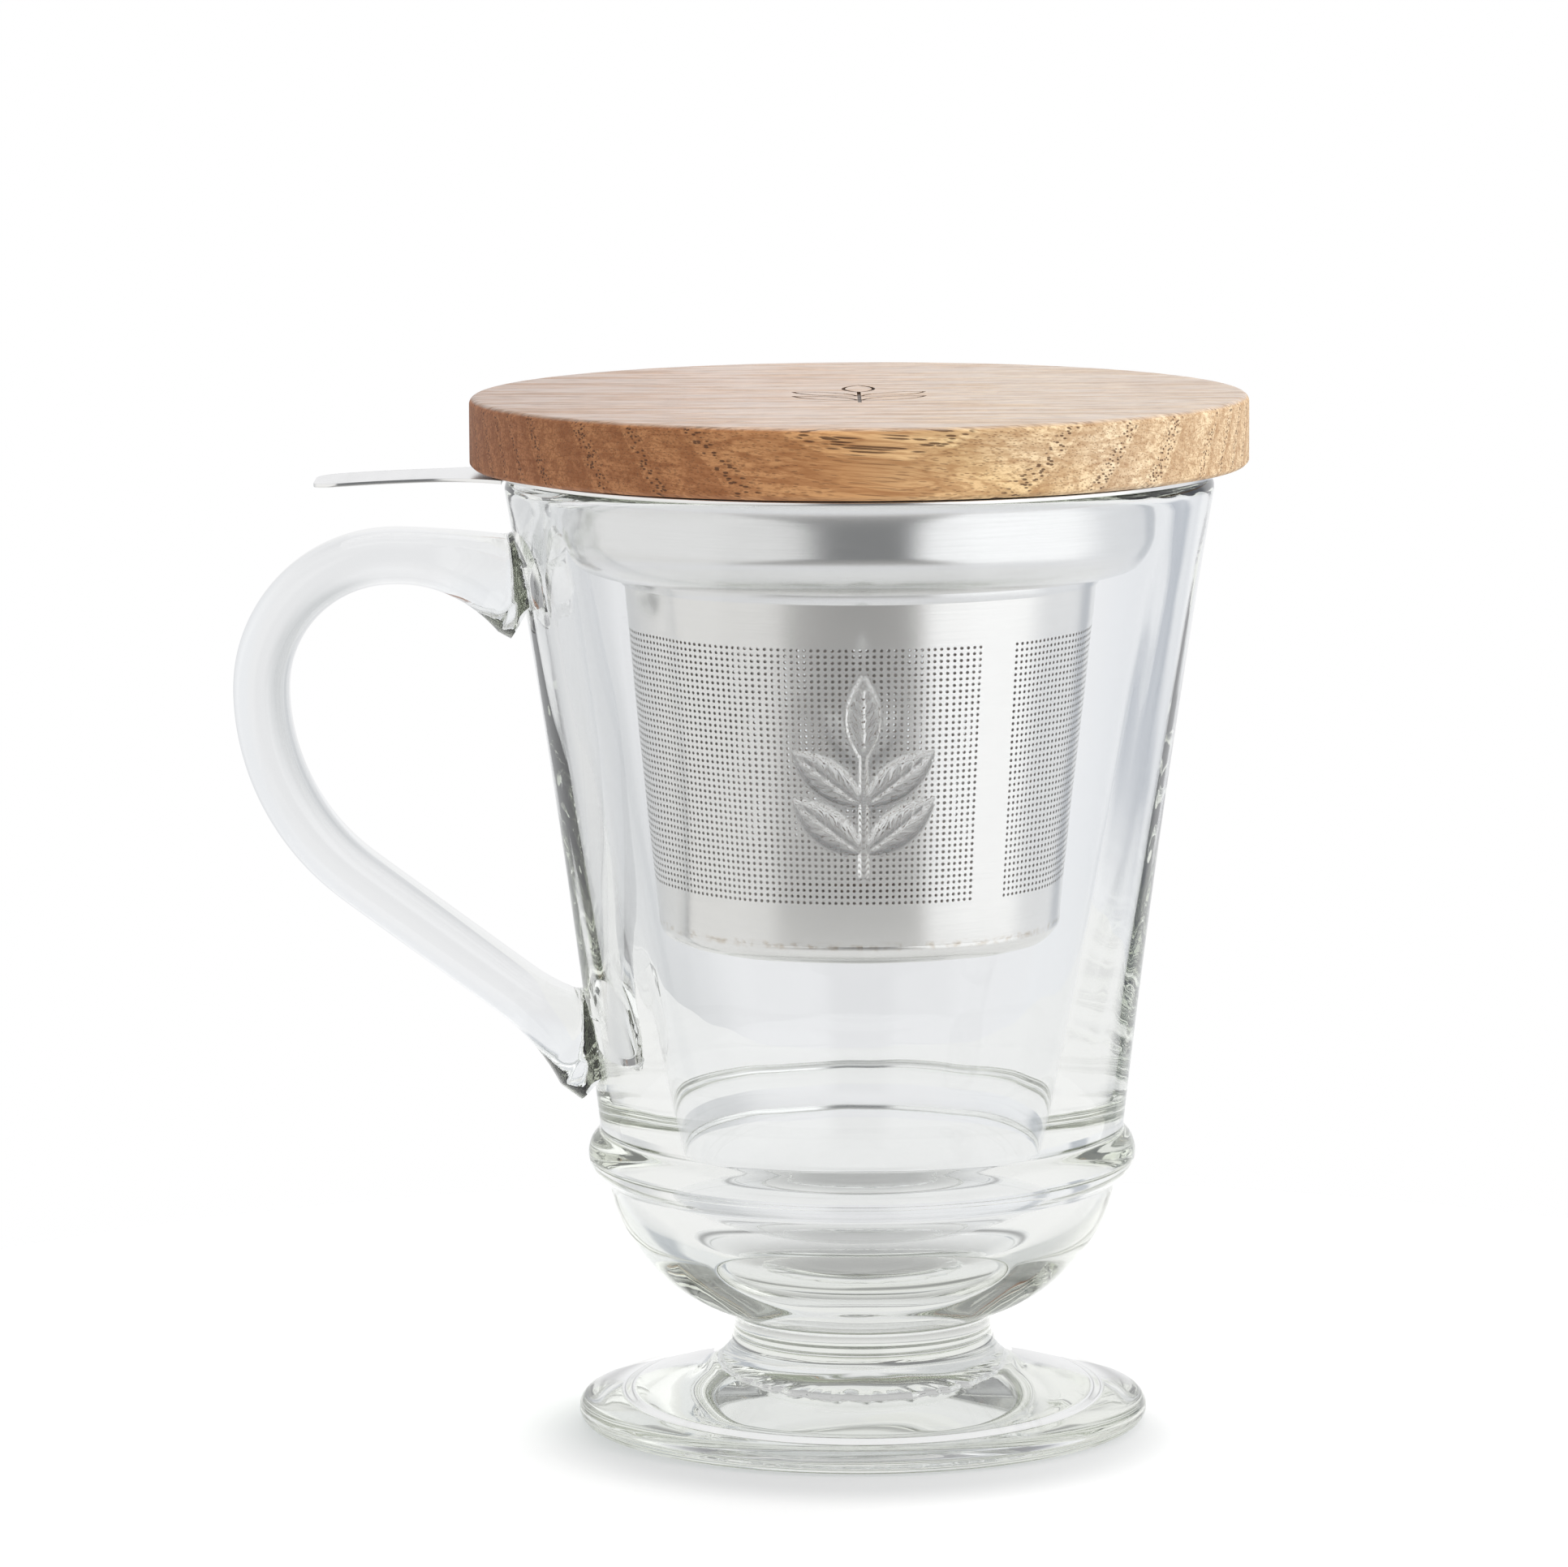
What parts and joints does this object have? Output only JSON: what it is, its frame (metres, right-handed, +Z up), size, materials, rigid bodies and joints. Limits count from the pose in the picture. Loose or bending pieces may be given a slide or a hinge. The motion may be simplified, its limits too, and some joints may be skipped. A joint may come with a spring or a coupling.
{
  "type": "lidded tea mug with infuser",
  "caption": "Footed clear glass tea mug with a looped handle, a lift-out perforated steel infuser with a side tab, and a round oak lid with a seal.",
  "frame": {"origin": "on the mug's axis, in the plane that the foot stands on", "axes": "+Z up along the mug's axis; -X towards the handle and the infuser's tab; -Y towards the front, where the leaf sprig is"},
  "size_m": [0.1372, 0.105, 0.1404],
  "materials": {
    "clear_glass": "polished clear",
    "polished_steel": "satin polished",
    "sleeve_steel": "satin, etched with fine holes",
    "oak": "oiled oak",
    "seal_silicone": "matt silicone"
  },
  "bodies": {
    "mug": {"glass_bowl": "clear_glass", "glass_foot": "clear_glass", "glass_handle": "clear_glass", "glass_sprig": "clear_glass"},
    "infuser": {"infuser_rim": "polished_steel", "infuser_sleeve": "sleeve_steel", "infuser_base": "sleeve_steel"},
    "lid": {"lid_disc": "oak", "lid_seal": "seal_silicone"}
  },
  "joints": [
    {"name": "infuser_lift", "type": "slide", "parent": "mug", "child": "infuser", "axis": [0, 0, 1], "range_m": [0, 0.075]},
    {"name": "lid_lift", "type": "slide", "parent": "infuser", "child": "lid", "axis": [0, 0, 1], "range_m": [0, 0.03]}
  ]
}
